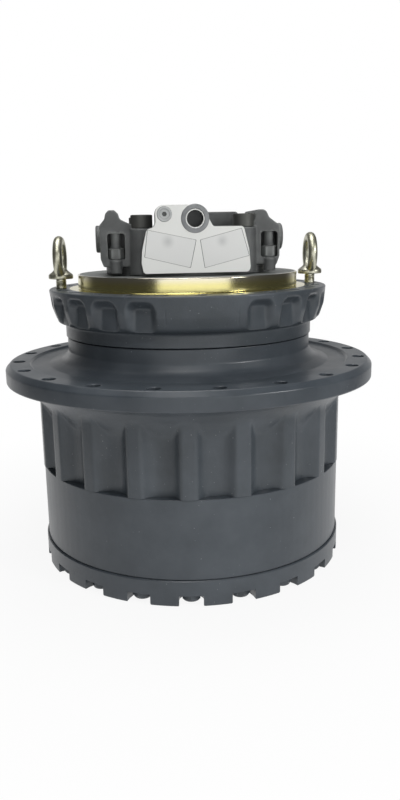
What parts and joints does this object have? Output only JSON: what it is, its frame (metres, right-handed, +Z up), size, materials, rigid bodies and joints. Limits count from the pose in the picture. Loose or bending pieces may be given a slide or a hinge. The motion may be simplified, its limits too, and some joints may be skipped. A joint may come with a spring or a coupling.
{
  "type": "excavator final drive",
  "caption": "Hydraulic travel motor on a ribbed planetary reduction hub with a drilled sprocket flange, bolted end cover and two lifting eyes.",
  "frame": {"origin": "on the main axis, at the lowest face of the end cover, on which the drive stands", "axes": "+Z up along the main axis towards the motor, -Y out of the motor's port face, +X to the right seen from the port side"},
  "size_m": [0.5498, 0.5498, 0.5226],
  "materials": {
    "enamel": "satin blue-grey primer enamel over cast iron",
    "casting": "dark phosphated casting, slightly rough",
    "machined": "milled port face, pale silver",
    "pilot": "turned pilot with a yellow passivated zinc film",
    "film": "thin grey protective film over the ports",
    "black_steel": "black oxide, satin",
    "zinc": "yellow passivated zinc plate, bright",
    "gear_steel": "case-hardened steel, ground flanks, oily",
    "ground_steel": "ground steel",
    "bronze": "bronze"
  },
  "bodies": {
    "housing": {"spindle": "enamel", "motor_cover": "casting", "pressure_plug": "ground_steel", "valve_cap_left": "casting", "valve_cap_right": "casting", "relief_valve_left": "black_steel", "relief_valve_right": "black_steel", "motor_screw_1": "black_steel", "motor_screw_2": "black_steel", "motor_screw_3": "black_steel", "motor_screw_4": "black_steel", "eye_bolt_left": "zinc", "eye_bolt_right": "zinc", "second_carrier": "gear_steel", "second_pin_1": "ground_steel", "second_pin_2": "ground_steel", "second_pin_3": "ground_steel", "bearing_nut": "ground_steel", "fixed_seal_ring": "ground_steel", "upper_bearing_cone": "ground_steel", "lower_bearing_cone": "ground_steel"},
    "spool": {"counterbalance_spool": "ground_steel"},
    "hub": {"hub": "enamel", "ring_gear": "enamel", "end_cover": "enamel", "thrust_pad": "bronze", "moving_seal_ring": "ground_steel", "upper_bearing_cup": "ground_steel", "lower_bearing_cup": "ground_steel", "fill_plug": "zinc", "drain_plug": "zinc", "cover_bolt_01": "black_steel", "cover_bolt_02": "black_steel", "cover_bolt_03": "black_steel", "cover_bolt_04": "black_steel", "cover_bolt_05": "black_steel", "cover_bolt_06": "black_steel", "cover_bolt_07": "black_steel", "cover_bolt_08": "black_steel", "cover_bolt_09": "black_steel", "cover_bolt_10": "black_steel", "cover_bolt_11": "black_steel", "cover_bolt_12": "black_steel", "cover_bolt_13": "black_steel", "cover_bolt_14": "black_steel", "cover_bolt_15": "black_steel", "cover_bolt_16": "black_steel", "cover_bolt_17": "black_steel", "cover_bolt_18": "black_steel", "cover_bolt_19": "black_steel", "cover_bolt_20": "black_steel"},
    "input": {"input_shaft": "gear_steel"},
    "first_carrier": {"first_carrier": "gear_steel", "second_sun": "gear_steel"},
    "first_planet_1": {"first_planet_1": "gear_steel"},
    "second_planet_1": {"second_planet_1": "gear_steel"},
    "first_planet_2": {"first_planet_2": "gear_steel"},
    "second_planet_2": {"second_planet_2": "gear_steel"},
    "first_planet_3": {"first_planet_3": "gear_steel"},
    "second_planet_3": {"second_planet_3": "gear_steel"}
  },
  "joints": [
    {"name": "hub_spin", "type": "hinge", "parent": "housing", "child": "hub", "pos_m": [0, 0, 0.25], "axis": [0, 0, 1], "continuous": true},
    {"name": "input_spin", "type": "hinge", "parent": "housing", "child": "input", "pos_m": [0, 0, 0.15], "axis": [0, 0, 1], "continuous": true},
    {"name": "first_carrier_spin", "type": "hinge", "parent": "housing", "child": "first_carrier", "pos_m": [0, 0, 0.085], "axis": [0, 0, 1], "continuous": true},
    {"name": "spool_slide", "type": "slide", "parent": "housing", "child": "spool", "axis": [1, 0, 0], "range_m": [-0.005, 0.005]},
    {"name": "first_planet_1_spin", "type": "hinge", "parent": "first_carrier", "child": "first_planet_1", "pos_m": [0, 0.12, 0.059], "axis": [0, 0, 1], "continuous": true},
    {"name": "first_planet_2_spin", "type": "hinge", "parent": "first_carrier", "child": "first_planet_2", "pos_m": [-0.10392, -0.06, 0.059], "axis": [0, 0, 1], "continuous": true},
    {"name": "first_planet_3_spin", "type": "hinge", "parent": "first_carrier", "child": "first_planet_3", "pos_m": [0.10392, -0.06, 0.059], "axis": [0, 0, 1], "continuous": true},
    {"name": "second_planet_1_spin", "type": "hinge", "parent": "housing", "child": "second_planet_1", "pos_m": [0, 0.132, 0.117], "axis": [0, 0, 1], "continuous": true},
    {"name": "second_planet_2_spin", "type": "hinge", "parent": "housing", "child": "second_planet_2", "pos_m": [-0.11432, -0.066, 0.117], "axis": [0, 0, 1], "continuous": true},
    {"name": "second_planet_3_spin", "type": "hinge", "parent": "housing", "child": "second_planet_3", "pos_m": [0.11432, -0.066, 0.117], "axis": [0, 0, 1], "continuous": true}
  ],
  "couplings": [
    {"joint": "input_spin", "follows": "hub_spin", "ratio": -17.333},
    {"joint": "first_carrier_spin", "follows": "hub_spin", "ratio": -2.6667},
    {"joint": "first_planet_1_spin", "follows": "hub_spin", "ratio": 9.7778},
    {"joint": "first_planet_2_spin", "follows": "hub_spin", "ratio": 9.7778},
    {"joint": "first_planet_3_spin", "follows": "hub_spin", "ratio": 9.7778},
    {"joint": "second_planet_1_spin", "follows": "hub_spin", "ratio": 3.2},
    {"joint": "second_planet_2_spin", "follows": "hub_spin", "ratio": 3.2},
    {"joint": "second_planet_3_spin", "follows": "hub_spin", "ratio": 3.2}
  ]
}
